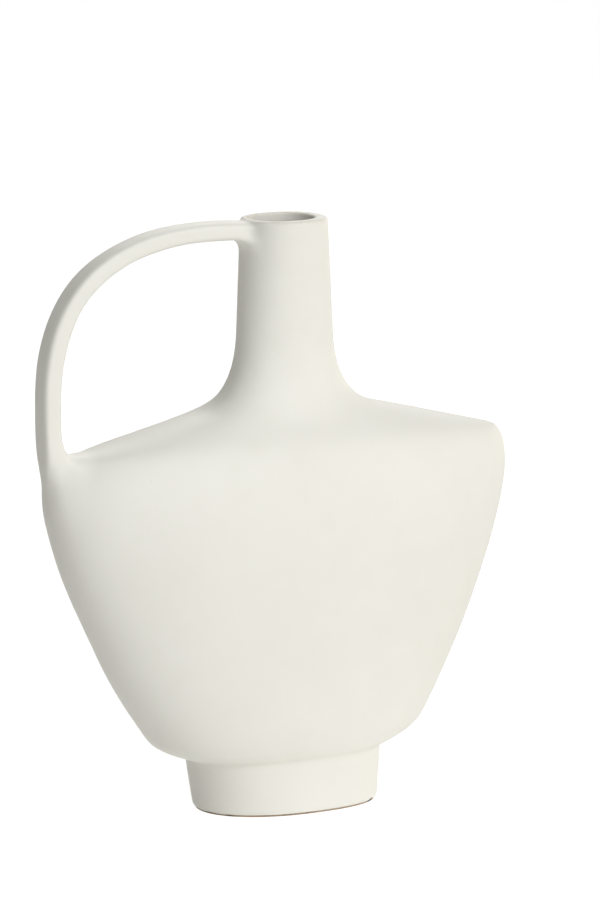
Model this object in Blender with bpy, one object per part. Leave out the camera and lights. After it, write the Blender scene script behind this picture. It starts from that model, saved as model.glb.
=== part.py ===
# A flattened ceramic vase with one strap handle, as the clay pieces that are luted together.
# Metres, +Z up. The front faces -Y, and the handle is on the -X side.
# The origin is on the ground, under the middle of the overall width.

import math

import bpy
import bmesh
from mathutils import Vector

# Clay
CLAY_WALL = 0.0058
SLIP_GAP = 0.0003

# Foot wall: a low oval that opens slightly upwards
FOOT_HEIGHT = 0.0315
FOOT_BASE_HALF_WIDTH = 0.0561
FOOT_BASE_HALF_DEPTH = 0.0362
FOOT_TOP_HALF_WIDTH = 0.0596
FOOT_TOP_HALF_DEPTH = 0.0383
FOOT_SQUARENESS = 2.48
FOOT_OFFSET = 0.0005
FOOT_WALL = 0.0070

# Standing ring and floor
BARE_EDGE_HEIGHT = 0.0010
RING_HEIGHT = 0.0060
RING_WIDTH = 0.0060
FLOOR_THICKNESS = 0.0070

# Body: the belly's corner above the foot, and the shoulder's corner above the belly's
BELLY_RISE = 0.0058
BELLY_HALF_WIDTH = 0.0844
BELLY_HALF_DEPTH = 0.0438
BELLY_SQUARENESS = 1.83
SHOULDER_RISE = 0.1772
SHOULDER_HALF_WIDTH = 0.1528
SHOULDER_HALF_DEPTH = 0.0477
SHOULDER_SQUARENESS = 2.00

# Body: outward swell of its two ends, low and high between those corners
LOW_SWELL = 0.0122
LOW_SWELL_PLACE = 0.307
HIGH_SWELL = 0.0097
HIGH_SWELL_PLACE = 0.698
LOW_SWELL_ROUND = 0.0409
HIGH_SWELL_ROUND = 0.0229

# Body: how far the corners' rounding reaches along their lower and upper sides
BELLY_ROUND_BELOW = 0.0224
BELLY_ROUND_ABOVE = 0.0213
BELLY_DEPTH_ROUND_BELOW = 0.0050
BELLY_DEPTH_ROUND_ABOVE = 0.0064
SHOULDER_ROUND_BELOW = 0.0402
SHOULDER_ROUND_ABOVE = 0.0171
SHOULDER_DEPTH_ROUND_BELOW = 0.0239
SHOULDER_DEPTH_ROUND_ABOVE = 0.0200

# Neck: its base above the shoulder's corner, the flare that it grows from, and its mouth
NECK_BASE_RISE = 0.0300
NECK_BASE_HALF_WIDTH = 0.0309
NECK_BASE_HALF_DEPTH = 0.0202
NECK_ROUND_BELOW = 0.0262
NECK_ROUND_ABOVE = 0.0382
NECK_SQUARENESS = 2.25
NECK_BASE_OFFSET = 0.0009
NECK_LENGTH = 0.1055
MOUTH_OFFSET = 0.0003
MOUTH_HALF_WIDTH = 0.0256
MOUTH_HALF_DEPTH = 0.0220
LIP_ROUND = 0.0024

# Handle: a strap from just below the mouth, out and down to the left shoulder
HANDLE_WIDTH = 0.0176
HANDLE_ROOT_THICKNESS = 0.0108
HANDLE_BOW_THICKNESS = 0.0111
HANDLE_TAIL_THICKNESS = 0.0109
HANDLE_EDGE_ROUND = 0.0032
HANDLE_ROOT_DROP = 0.0077
HANDLE_ROOT_SEAT = 0.0070
HANDLE_ROOT_SLOPE = -0.136
HANDLE_BOW_INSET = 0.0015
HANDLE_BOW_RISE = 0.0384
HANDLE_TAIL_DROP = 0.1065
HANDLE_TAIL_SINK = 0.0065
HANDLE_TAIL_LEAN = 0.538

# Handle: how full its two curves are, as shares of the distances that they span
ROOT_PULL = 0.614
SHOULDER_PULL = 0.819
BOW_PULL = 0.451
TAIL_PULL = 0.359

# Roundings: 2/3 gives a plain parabola, and less of it a softer corner
ROUND_FULLNESS = 2 / 3
SHOULDER_FULLNESS = 0.533
MOST_ROUNDED = 0.98

# Fineness of the solids
POINTS_AROUND = 48
CURVE_STEPS = 5
OUTLINE_STEPS = 40
LIP_STEPS = 3
HANDLE_STATIONS = 17
EDGE_STEPS = 2
LEAST_RING_RISE = 0.0012
SHARP_FROM = math.radians(35)

GLAZE_COLOUR = (0.80, 0.79, 0.74, 1.0)
CLAY_COLOUR = (0.36, 0.24, 0.15, 1.0)

# Heights above the ground
BELLY_HEIGHT = FOOT_HEIGHT + BELLY_RISE
SHOULDER_HEIGHT = BELLY_HEIGHT + SHOULDER_RISE
NECK_BASE_HEIGHT = SHOULDER_HEIGHT + NECK_BASE_RISE
NECK_JOINT_HEIGHT = NECK_BASE_HEIGHT + NECK_ROUND_ABOVE
VASE_HEIGHT = NECK_BASE_HEIGHT + NECK_LENGTH


def clear_scene():
    for item in list(bpy.data.objects):
        bpy.data.objects.remove(item)


def finish(name, colour, roughness):
    material = bpy.data.materials.new(name)
    material.use_nodes = True
    shader = material.node_tree.nodes["Principled BSDF"]
    shader.inputs["Base Color"].default_value = colour
    shader.inputs["Roughness"].default_value = roughness
    shader.inputs["Metallic"].default_value = 0.0
    return material


def mixed(low, high, share):
    return low + (high - low) * min(max(share, 0.0), 1.0)


# Outlines are lists of (half size, height) from the foot's top to the mouth.
def curved(start, pull_start, pull_end, end, steps):
    points = []
    for step in range(1, steps + 1):
        t = step / steps
        s = 1 - t
        near_start = start * s ** 3 + pull_start * (3 * s * s * t)
        near_end = pull_end * (3 * s * t * t) + end * t ** 3
        points.append(near_start + near_end)
    return points


def outline(start, corners, end, steps):
    # Straight stretches joined by rounded corners, each (point, round below, round above, fullness).
    points = [start] + [corner[0] for corner in corners] + [end]
    below = [0.0] + [corner[1] for corner in corners] + [0.0]
    above = [0.0] + [corner[2] for corner in corners] + [0.0]
    for index in range(len(points) - 1):
        # Two roundings that would cross on a stretch share it.
        room = MOST_ROUNDED * (points[index + 1] - points[index]).length
        used = above[index] + below[index + 1]
        if used > room:
            above[index] *= room / used
            below[index + 1] *= room / used
    line = [start]
    for index, (corner, _, _, fullness) in enumerate(corners, 1):
        enter = corner + (points[index - 1] - corner).normalized() * below[index]
        leave = corner + (points[index + 1] - corner).normalized() * above[index]
        line.append(enter)
        line += curved(enter, enter.lerp(corner, fullness), leave.lerp(corner, fullness), leave, steps)
    line.append(end)
    return line


def front_outline(steps):
    belly = Vector((BELLY_HALF_WIDTH, BELLY_HEIGHT))
    shoulder = Vector((SHOULDER_HALF_WIDTH, SHOULDER_HEIGHT))
    side = shoulder - belly
    outwards = Vector((side.y, -side.x)).normalized()
    low_swell = belly + side * LOW_SWELL_PLACE + outwards * LOW_SWELL
    high_swell = belly + side * HIGH_SWELL_PLACE + outwards * HIGH_SWELL
    neck = Vector((NECK_BASE_HALF_WIDTH, NECK_BASE_HEIGHT))
    corners = [
        (belly, BELLY_ROUND_BELOW, BELLY_ROUND_ABOVE, ROUND_FULLNESS),
        (low_swell, LOW_SWELL_ROUND, LOW_SWELL_ROUND, ROUND_FULLNESS),
        (high_swell, HIGH_SWELL_ROUND, HIGH_SWELL_ROUND, ROUND_FULLNESS),
        (shoulder, SHOULDER_ROUND_BELOW, SHOULDER_ROUND_ABOVE, SHOULDER_FULLNESS),
        (neck, NECK_ROUND_BELOW, NECK_ROUND_ABOVE, ROUND_FULLNESS),
    ]
    foot = Vector((FOOT_TOP_HALF_WIDTH, FOOT_HEIGHT))
    return outline(foot, corners, Vector((MOUTH_HALF_WIDTH, VASE_HEIGHT)), steps)


def side_outline(steps):
    belly = Vector((BELLY_HALF_DEPTH, BELLY_HEIGHT))
    shoulder = Vector((SHOULDER_HALF_DEPTH, SHOULDER_HEIGHT))
    neck = Vector((NECK_BASE_HALF_DEPTH, NECK_BASE_HEIGHT))
    corners = [
        (belly, BELLY_DEPTH_ROUND_BELOW, BELLY_DEPTH_ROUND_ABOVE, ROUND_FULLNESS),
        (shoulder, SHOULDER_DEPTH_ROUND_BELOW, SHOULDER_DEPTH_ROUND_ABOVE, ROUND_FULLNESS),
        (neck, NECK_ROUND_BELOW, NECK_ROUND_ABOVE, ROUND_FULLNESS),
    ]
    foot = Vector((FOOT_TOP_HALF_DEPTH, FOOT_HEIGHT))
    return outline(foot, corners, Vector((MOUTH_HALF_DEPTH, VASE_HEIGHT)), steps)


def half_at(line, height):
    # Half size where the outline passes this height.
    for low, high in zip(line, line[1:]):
        if low.y <= height <= high.y and high.y > low.y:
            return mixed(low.x, high.x, (height - low.y) / (high.y - low.y))
    return line[-1].x if height > line[-1].y else line[0].x


def inner_half_at(line, wall, height):
    # Half size of the hollow: everywhere a full wall away from the outline.
    inner = half_at(line, height) - wall
    for point in line:
        rise = height - point.y
        if abs(rise) < wall:
            inner = min(inner, point.x - math.sqrt(wall * wall - rise * rise))
    return inner


def squareness_at(height):
    body_share = (height - FOOT_HEIGHT) / (SHOULDER_HEIGHT - FOOT_HEIGHT)
    neck_share = (height - SHOULDER_HEIGHT) / (NECK_JOINT_HEIGHT - SHOULDER_HEIGHT)
    return mixed(mixed(BELLY_SQUARENESS, SHOULDER_SQUARENESS, body_share), NECK_SQUARENESS, neck_share)


def centre_at(height):
    # The neck stands a little to the right of the body and leans back to the left.
    shoulder_share = (height - SHOULDER_HEIGHT) / (NECK_BASE_HEIGHT - SHOULDER_HEIGHT)
    neck_share = (height - NECK_BASE_HEIGHT) / NECK_LENGTH
    return mixed(mixed(0.0, NECK_BASE_OFFSET, shoulder_share), MOUTH_OFFSET, neck_share)


# Ovals with squared-off ends
def oval_point(half_width, half_depth, squareness, angle):
    x = math.copysign(abs(math.cos(angle)) ** (2 / squareness), math.cos(angle)) * half_width
    y = math.copysign(abs(math.sin(angle)) ** (2 / squareness), math.sin(angle)) * half_depth
    return x, y


def full_ring(half_width, half_depth, squareness, centre, height):
    ring = []
    for step in range(POINTS_AROUND):
        x, y = oval_point(half_width, half_depth, squareness, 2 * math.pi * step / POINTS_AROUND)
        ring.append(Vector((centre + x, y, height)))
    return ring


def half_ring(half_width, half_depth, squareness, centre, height, side):
    # Half an oval, kept half a gap away from the plane where the two halves meet.
    ring = []
    steps = POINTS_AROUND // 2
    for step in range(steps + 1):
        x, y = oval_point(half_width, half_depth - SLIP_GAP / 2, squareness, math.pi * step / steps)
        ring.append(Vector((centre + x, side * (abs(y) + SLIP_GAP / 2), height)))
    return ring


# Solids
def solid_from_rings(name, rings, around_closed, along_closed):
    mesh = bmesh.new()
    rows = [[mesh.verts.new(point) for point in ring] for ring in rings]
    across = len(rows[0]) if around_closed else len(rows[0]) - 1
    along = len(rows) if along_closed else len(rows) - 1
    for i in range(along):
        low = rows[i]
        high = rows[(i + 1) % len(rows)]
        for j in range(across):
            k = (j + 1) % len(low)
            mesh.faces.new((low[j], low[k], high[k], high[j]))
    if not along_closed:
        mesh.faces.new(rows[0])
        mesh.faces.new(rows[-1])
    if not around_closed:
        mesh.faces.new([row[0] for row in rows])
        mesh.faces.new([row[-1] for row in rows])
    bmesh.ops.recalc_face_normals(mesh, faces=mesh.faces)
    data = bpy.data.meshes.new(name)
    mesh.to_mesh(data)
    mesh.free()
    data.shade_smooth()
    data.set_sharp_from_angle(angle=SHARP_FROM)
    piece = bpy.data.objects.new(name, data)
    bpy.context.scene.collection.objects.link(piece)
    return piece


def outer_heights(low, high):
    heights = [point.y for point in front_outline(CURVE_STEPS) if low < point.y < high]
    return spaced([low] + heights + [high])


def spaced(heights):
    # Leaves out rings that lie too close to the one below.
    kept = [heights[0]]
    for height in heights[1:-1]:
        if height - kept[-1] >= LEAST_RING_RISE and heights[-1] - height >= LEAST_RING_RISE:
            kept.append(height)
    kept.append(heights[-1])
    return kept


def inner_heights(low, high):
    # The hollow's rings lie where the outline's points go when they move in by the wall.
    line = front_outline(CURVE_STEPS)
    heights = []
    for before, after in zip(line, line[1:]):
        run = after - before
        inwards = Vector((-run.y, run.x)).normalized()
        middle = before.lerp(after, 0.5) + inwards * CLAY_WALL
        if low < middle.y < high:
            heights.append(middle.y)
    return spaced([low] + sorted(heights) + [high])


def body_half(name, side):
    front = front_outline(OUTLINE_STEPS)
    depth = side_outline(OUTLINE_STEPS)
    low = FOOT_HEIGHT + SLIP_GAP
    high = NECK_JOINT_HEIGHT
    rings = []
    for height in outer_heights(low, high):
        sizes = half_at(front, height), half_at(depth, height)
        rings.append(half_ring(*sizes, squareness_at(height), centre_at(height), height, side))
    for height in reversed(inner_heights(low, high)):
        sizes = inner_half_at(front, CLAY_WALL, height), inner_half_at(depth, CLAY_WALL, height)
        rings.append(half_ring(*sizes, squareness_at(height), centre_at(height), height, side))
    return solid_from_rings(name, rings, around_closed=False, along_closed=True)


def neck_tube():
    front = front_outline(OUTLINE_STEPS)
    depth = side_outline(OUTLINE_STEPS)
    low = NECK_JOINT_HEIGHT + SLIP_GAP
    high = VASE_HEIGHT - LIP_ROUND
    rings = []

    def add(half_width, half_depth, height):
        rings.append(full_ring(half_width, half_depth, squareness_at(height), centre_at(height), height))

    for height in outer_heights(low, high):
        add(half_at(front, height), half_at(depth, height), height)
    half_width = half_at(front, VASE_HEIGHT)
    half_depth = half_at(depth, VASE_HEIGHT)
    # The lip is rounded on its outer edge, flat on top, and rounded on its inner edge.
    for step in range(1, LIP_STEPS + 1):
        angle = math.pi / 2 * step / LIP_STEPS
        inset = LIP_ROUND * (1 - math.cos(angle))
        add(half_width - inset, half_depth - inset, high + LIP_ROUND * math.sin(angle))
    for step in range(LIP_STEPS + 1):
        angle = math.pi / 2 * (1 - step / LIP_STEPS)
        inset = CLAY_WALL - LIP_ROUND * (1 - math.cos(angle))
        add(half_width - inset, half_depth - inset, high + LIP_ROUND * math.sin(angle))
    for height in reversed(outer_heights(low, high)[:-1]):
        add(inner_half_at(front, CLAY_WALL, height), inner_half_at(depth, CLAY_WALL, height), height)
    return solid_from_rings("neck", rings, around_closed=True, along_closed=True)


# The foot's pieces
def foot_ring_at(height, inset):
    share = height / FOOT_HEIGHT
    half_width = mixed(FOOT_BASE_HALF_WIDTH, FOOT_TOP_HALF_WIDTH, share) - inset
    half_depth = mixed(FOOT_BASE_HALF_DEPTH, FOOT_TOP_HALF_DEPTH, share) - inset
    return full_ring(half_width, half_depth, FOOT_SQUARENESS, FOOT_OFFSET, height)


def standing_ring():
    upright = FOOT_WALL + SLIP_GAP
    rings = [
        foot_ring_at(0.0, 0.0),
        foot_ring_at(BARE_EDGE_HEIGHT, 0.0),
        foot_ring_at(BARE_EDGE_HEIGHT, upright),
        foot_ring_at(RING_HEIGHT, upright),
        foot_ring_at(RING_HEIGHT, upright + RING_WIDTH),
        foot_ring_at(0.0, upright + RING_WIDTH),
    ]
    return solid_from_rings("foot_ring", rings, around_closed=True, along_closed=True)


def foot_wall():
    low = BARE_EDGE_HEIGHT + SLIP_GAP
    rings = [
        foot_ring_at(low, 0.0),
        foot_ring_at(FOOT_HEIGHT, 0.0),
        foot_ring_at(FOOT_HEIGHT, FOOT_WALL),
        foot_ring_at(low, FOOT_WALL),
    ]
    return solid_from_rings("foot_wall", rings, around_closed=True, along_closed=True)


def base_slab():
    low = RING_HEIGHT + SLIP_GAP
    inset = FOOT_WALL + SLIP_GAP
    rings = [foot_ring_at(low, inset), foot_ring_at(low + FLOOR_THICKNESS, inset)]
    return solid_from_rings("base_slab", rings, around_closed=True, along_closed=False)


# The handle
def handle_centres():
    # Points (x, z) of the strap's middle line, from inside the neck to inside the body.
    front = front_outline(OUTLINE_STEPS)
    root_height = VASE_HEIGHT - HANDLE_ROOT_DROP
    root = Vector((centre_at(root_height) - half_at(front, root_height) + HANDLE_ROOT_SEAT, root_height))
    bow = Vector((HANDLE_BOW_INSET - SHOULDER_HALF_WIDTH, SHOULDER_HEIGHT + HANDLE_BOW_RISE))
    tail_height = SHOULDER_HEIGHT - HANDLE_TAIL_DROP
    tail = Vector((HANDLE_TAIL_SINK - half_at(front, tail_height), tail_height))
    root_way = Vector((-1.0, -HANDLE_ROOT_SLOPE)).normalized()
    tail_way = Vector((HANDLE_TAIL_LEAN, -1.0)).normalized()
    across = root.x - bow.x
    down = root.y - bow.y
    fall = bow.y - tail.y
    over = curved(root, root + root_way * ROOT_PULL * across,
                  bow + Vector((0.0, SHOULDER_PULL * down)), bow, HANDLE_STATIONS)
    under = curved(bow, bow - Vector((0.0, BOW_PULL * fall)),
                   tail - tail_way * TAIL_PULL * fall, tail, HANDLE_STATIONS)
    return [root] + over + under


def handle_thickness_at(share):
    if share < 0.5:
        return mixed(HANDLE_ROOT_THICKNESS, HANDLE_BOW_THICKNESS, 2 * share)
    return mixed(HANDLE_BOW_THICKNESS, HANDLE_TAIL_THICKNESS, 2 * share - 1)


def strap_section(thickness):
    # (outwards, along Y) of a rectangle with rounded corners, once round.
    section = []
    edge = min(HANDLE_EDGE_ROUND, 0.45 * thickness, 0.45 * HANDLE_WIDTH)
    for quarter in range(4):
        middle = math.radians(45 + 90 * quarter)
        out = math.copysign(thickness / 2 - edge, math.cos(middle))
        side = math.copysign(HANDLE_WIDTH / 2 - edge, math.sin(middle))
        for step in range(EDGE_STEPS + 1):
            angle = math.pi / 2 * (quarter + step / EDGE_STEPS)
            section.append((out + edge * math.cos(angle), side + edge * math.sin(angle)))
    return section


def strap_handle():
    centres = handle_centres()
    rings = []
    for index, centre in enumerate(centres):
        before = centres[max(index - 1, 0)]
        after = centres[min(index + 1, len(centres) - 1)]
        way = (after - before).normalized()
        outwards = Vector((way.y, -way.x))
        section = strap_section(handle_thickness_at(index / (len(centres) - 1)))
        ring = []
        for out, side in section:
            ring.append(Vector((centre.x + outwards.x * out, side, centre.y + outwards.y * out)))
        rings.append(ring)
    handle = solid_from_rings("handle", rings, around_closed=True, along_closed=False)
    cut = handle.modifiers.new("cut to the vase", "BOOLEAN")
    cut.operation = "DIFFERENCE"
    cut.solver = "EXACT"
    cut.object = vase_envelope()
    return handle


def vase_envelope():
    # The filled outer shape of body and neck, one slip gap larger, which trims the handle's ends.
    front = front_outline(OUTLINE_STEPS)
    depth = side_outline(OUTLINE_STEPS)
    rings = []
    for height in outer_heights(FOOT_HEIGHT, VASE_HEIGHT):
        sizes = half_at(front, height), half_at(depth, height)
        rings.append(full_ring(*sizes, squareness_at(height), centre_at(height), height))
    envelope = solid_from_rings("handle_cutter", rings, around_closed=True, along_closed=False)
    envelope.hide_render = True
    envelope.display_type = "WIRE"
    grow = envelope.modifiers.new("slip gap", "DISPLACE")
    grow.strength = SLIP_GAP
    grow.mid_level = 0.0
    return envelope


def main():
    clear_scene()
    glaze = finish("matt_white_glaze", GLAZE_COLOUR, 0.55)
    clay = finish("bare_clay", CLAY_COLOUR, 0.9)
    pieces = [
        (standing_ring(), clay),
        (base_slab(), clay),
        (foot_wall(), glaze),
        (body_half("body_front", -1), glaze),
        (body_half("body_back", 1), glaze),
        (neck_tube(), glaze),
        (strap_handle(), glaze),
    ]
    handle_outside = max(-centre.x for centre in handle_centres()) + HANDLE_BOW_THICKNESS / 2
    body_outside = max(point.x for point in front_outline(OUTLINE_STEPS))
    vase = bpy.data.objects.new("vase", None)
    bpy.context.scene.collection.objects.link(vase)
    vase.location.x = (handle_outside - body_outside) / 2
    for piece, material in pieces:
        piece.data.materials.append(material)
        piece.parent = vase
    bpy.data.objects["handle_cutter"].parent = vase


main()
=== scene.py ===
import math

import bmesh
import bpy
import numpy as np
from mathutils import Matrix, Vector, noise
from mathutils.bvhtree import BVHTree


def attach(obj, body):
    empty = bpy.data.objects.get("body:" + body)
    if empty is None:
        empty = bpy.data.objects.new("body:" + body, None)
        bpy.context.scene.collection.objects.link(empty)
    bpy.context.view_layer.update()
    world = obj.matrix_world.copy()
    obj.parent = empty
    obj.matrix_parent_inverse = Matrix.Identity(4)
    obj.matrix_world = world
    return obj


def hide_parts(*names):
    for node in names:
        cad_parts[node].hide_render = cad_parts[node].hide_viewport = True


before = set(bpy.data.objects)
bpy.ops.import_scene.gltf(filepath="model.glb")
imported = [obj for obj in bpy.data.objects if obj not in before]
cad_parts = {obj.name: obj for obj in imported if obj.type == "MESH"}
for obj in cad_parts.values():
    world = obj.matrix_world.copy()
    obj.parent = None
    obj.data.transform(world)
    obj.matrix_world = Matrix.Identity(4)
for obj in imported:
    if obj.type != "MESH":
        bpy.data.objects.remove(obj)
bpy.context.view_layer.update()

mm = 0.001

# The vessel. Sizes in mm: half widths run along X, half depths along Y.
vessel = {
    "axisX": 4.94,
    "wall": 5.8,
    "footWall": 7.0,
    # the foot's half width to the right, to the left and half depth, at the ground and at its top
    "footBottom": (55.5, 57.5, 37.6),
    "footTop": (59.3, 61.5, 37.7),
    "footHeight": 32.6,
    # the glazed skin starts this high, and its lower edge is rounded inwards and upwards
    "glazeEdge": 1.0,
    "glazeEdgeRound": (1.2, 3.2),
    "glazeEdgeSteps": 8,
    # insets of the rows on the skin's lower side
    "edgeInsets": (5.0, 3.0),
    # the foot stands this far to the right
    "footShift": 1.0,
    # the seam over the foot: its rounding, its fullness and the share of the rounding that isn't softened
    "seamRound": 2.2,
    "seamFullness": 0.667,
    "seamKept": 0.3,
    # above it: how far the foot's squareness and its shift fade out
    "seamFade": 3.0,
    "shiftFade": 8.0,
    # (half width, height, round below, round above, fullness) of each corner, going up
    "rightCorners": [
        (87.4, 41.6, 8.7, 9.6, 0.667),
        (114.3, 88.0, 34.4, 34.4, 0.667),
        (141.3, 156.2, 27.9, 27.9, 0.667),
        (152.5, 214.1, 34.0, 14.0, 0.533),
        (31.2, 244.5, 26.9, 38.6, 0.667),
    ],
    "leftCorners": [
        (81.2, 36.7, 20.0, 9.4, 0.667),
        (116.6, 88.0, 34.4, 34.4, 0.667),
        (140.5, 156.2, 27.9, 27.9, 0.667),
        (151.3, 214.5, 40.0, 26.0, 0.533),
        (31.2, 244.5, 26.9, 38.6, 0.667),
    ],
    "depthCorners": [
        (44.6, 39.5, 8.7, 14.7, 0.667),
        (51.2, 208.5, 60.0, 36.0, 0.667),
        (19.9, 244.5, 26.9, 38.6, 0.667),
    ],
    "mouth": (25.6, 25.6, 22.2),
    "height": 350.4,
    # the lip's rounding outside and inside
    "lipRound": 2.3,
    "lipInnerRound": 1.4,
    "lipSteps": 8,
    # how far the mouth's hollow stands to the left, and how far below the lip it does so fully
    "mouthLean": 1.9,
    "mouthLeanFull": 12.0,
    # how far the neck stands to the right, at its base and at the mouth
    "neckShift": (1.1, 0.5),
    # the outline's points and how widely they are evened out
    "lineStep": 0.5,
    "softening": 2.5,
    # squareness of the ovals to the right and left: at the ground, then foot, belly, shoulder, neck
    "groundSquareness": (2.66, 2.08),
    "squareness": ((2.35, 2.50), (2.04, 2.28), (1.96, 2.30), (2.25, 2.25)),
    # (height, how far the left edge stands out under the handle), from this share of the width outwards
    "leftSwell": [(100, 0.0), (116, 1.0), (132, 2.8), (148, 4.3), (166, 5.4), (182, 6.0), (194, 6.3),
                  (203, 5.9), (211, 4.4), (219, 2.2), (230, 0.0)],
    "swellFrom": 0.68,
    # the shoulders' fold is smoothed over these heights, more in the middle than at its two ends
    "foldHeights": (130.0, 175.0, 226.0, 246.0),
    "foldEnds": (0.12, 0.85),
    "foldRounds": 194,
    # from here up the neck has its own squareness, and the mouth's hollow begins to lean
    "neckFrom": 282.7,
    "floorTop": 13.3,
    "floorUnderside": 6.3,
    "floorCorner": 4.0,
    "floorCornerSteps": 4,
    # insets of the floor's rows from the foot's wall, underneath and on top
    "undersideInsets": (26.0, 20.0, 12.0, 4.0),
    "floorInsets": (8.0, 14.0, 20.0, 26.0),
    # heights of the rows inside the foot
    "hollowHeights": (30.0, 26.0, 22.0),
    # points in a row, and how much they crowd at its two narrow ends, where the handle joins
    "around": 240,
    "crowding": 0.2,
    # rows on the outer and the inner wall, and what they leave free below and above
    "rowStep": 1.8,
    "rowRoom": (0.6, 0.4),
    "insideStep": 5.0,
    "insideRoom": (1.0, 1.5),
}


def blendNumber(low, high, share):
    return low + (high - low) * min(max(share, 0.0), 1.0)


def smoothShare(value, start, end):
    t = min(max((value - start) / (end - start), 0.0), 1.0)
    return t * t * (3 - 2 * t)


def bezierPoints(start, pullStart, pullEnd, end, steps):
    points = []
    for step in range(1, steps + 1):
        t = step / steps
        s = 1 - t
        points.append(start * s ** 3 + pullStart * (3 * s * s * t) + pullEnd * (3 * s * t * t) + end * t ** 3)
    return points


def roundedLine(start, corners, end, steps=24):
    # Straight stretches joined by rounded corners, from the foot up to the mouth.
    points = [start] + [Vector(corner[:2]) for corner in corners] + [end]
    below = [0.0] + [corner[2] for corner in corners] + [0.0]
    above = [0.0] + [corner[3] for corner in corners] + [0.0]
    # two roundings that don't fit on the stretch between them shrink together
    for index in range(len(points) - 1):
        room = 0.98 * (points[index + 1] - points[index]).length
        used = above[index] + below[index + 1]
        if used > room:
            above[index] *= room / used
            below[index + 1] *= room / used
    line = [start]
    for index, corner in enumerate(corners, 1):
        middle = points[index]
        enter = middle + (points[index - 1] - middle).normalized() * below[index]
        leave = middle + (points[index + 1] - middle).normalized() * above[index]
        full = corner[4]
        line.append(enter)
        line += bezierPoints(enter, enter.lerp(middle, full), leave.lerp(middle, full), leave, steps)
    line.append(end)
    return line


def evenPoints(line, step):
    # The same line with points a fixed step apart.
    lengths = [0.0]
    for low, high in zip(line, line[1:]):
        lengths.append(lengths[-1] + (high - low).length)
    count = max(2, round(lengths[-1] / step))
    points = []
    place = 0
    for index in range(count + 1):
        wanted = lengths[-1] * index / count
        while place < len(line) - 2 and lengths[place + 1] < wanted:
            place += 1
        span = lengths[place + 1] - lengths[place]
        share = (wanted - lengths[place]) / span if span > 0 else 0.0
        points.append(line[place].lerp(line[place + 1], min(max(share, 0.0), 1.0)))
    return points


def softened(line, step, radius):
    # Averages each point with its neighbours, as wet clay is smoothed with a sponge.
    points = evenPoints(line, step)
    reach = max(1, round(2 * radius / step))
    weights = [math.exp(-0.5 * (offset * step / radius) ** 2) for offset in range(-reach, reach + 1)]
    result = []
    for index, point in enumerate(points):
        if index < 1 or index > len(points) - 2:
            result.append(point.copy())
            continue
        # near the ends the averaging shrinks, so that they stay in place
        room = min(index, len(points) - 1 - index, reach)
        total = Vector((0.0, 0.0))
        weight = 0.0
        for offset in range(-room, room + 1):
            share = weights[offset + reach]
            total += points[index + offset] * share
            weight += share
        result.append(total / weight)
    return result


def halfAt(line, height):
    for low, high in zip(line, line[1:]):
        if low.y <= height <= high.y and high.y > low.y:
            return blendNumber(low.x, high.x, (height - low.y) / (high.y - low.y))
    return line[-1].x if height > line[-1].y else line[0].x


def innerHalfAt(line, wall, height):
    inner = halfAt(line, height) - wall
    for point in line:
        rise = height - point.y
        if abs(rise) < wall:
            inner = min(inner, point.x - math.sqrt(wall * wall - rise * rise))
    return inner


def squarenessAt(height):
    # To the right and to the left.
    foot, belly, shoulder, neck = (Vector(pair) for pair in vessel["squareness"])
    top = vessel["footHeight"]
    if height < top:
        return Vector(vessel["groundSquareness"]).lerp(foot, height / top)
    bellyHeight, shoulderHeight = vessel["depthCorners"][0][1], vessel["depthCorners"][1][1]
    if height < bellyHeight + vessel["seamFade"]:
        return foot.lerp(belly, smoothShare(height, top, bellyHeight + vessel["seamFade"]))
    if height < shoulderHeight:
        return belly.lerp(shoulder, (height - top) / (shoulderHeight - top))
    return shoulder.lerp(neck, min((height - shoulderHeight) / (vessel["neckFrom"] - shoulderHeight), 1.0))


def shiftAt(height):
    # The neck stands a little to the right of the body, and the foot too.
    top = vessel["footHeight"]
    shoulderHeight, neckHeight = vessel["rightCorners"][3][1], vessel["rightCorners"][4][1]
    base, mouth = vessel["neckShift"]
    if height < shoulderHeight:
        return vessel["footShift"] * (1 - smoothShare(height, top, top + vessel["shiftFade"]))
    if height < neckHeight:
        return blendNumber(0.0, base, (height - shoulderHeight) / (neckHeight - shoulderHeight))
    return blendNumber(base, mouth, (height - neckHeight) / (vessel["height"] - neckHeight))


def ovalRow(sizes, height, squareness, shift):
    right, left, depth = sizes
    row = []
    for step in range(vessel["around"]):
        angle = 2 * math.pi * step / vessel["around"]
        angle -= vessel["crowding"] * math.sin(2 * angle)
        across, along = math.cos(angle), math.sin(angle)
        halfWidth, power = (right, 2 / squareness[0]) if across > 0 else (left, 2 / squareness[1])
        x = math.copysign(abs(across) ** power, across) * halfWidth
        y = math.copysign(abs(along) ** power, along) * depth
        row.append(Vector((vessel["axisX"] + shift + x, y, height)) * mm)
    return row


def outerLines():
    # To the right, to the left and in depth.
    seam = vessel["seamRound"]
    kept = vessel["footHeight"] + seam * vessel["seamKept"]
    lines = []
    for index, side in enumerate(("rightCorners", "leftCorners", "depthCorners")):
        start = Vector((vessel["footBottom"][index], 0.0))
        seamCorner = (vessel["footTop"][index], vessel["footHeight"], seam, seam, vessel["seamFullness"])
        end = Vector((vessel["mouth"][index], vessel["height"]))
        line = roundedLine(start, [seamCorner] + vessel[side], end)
        # the seam with the foot keeps its corner, and everything above it is softened
        sharp = [point for point in line if point.y < kept]
        rest = [point for point in line if point.y >= kept]
        lines.append(sharp + softened(rest, vessel["lineStep"], vessel["softening"]))
    return lines


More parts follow.
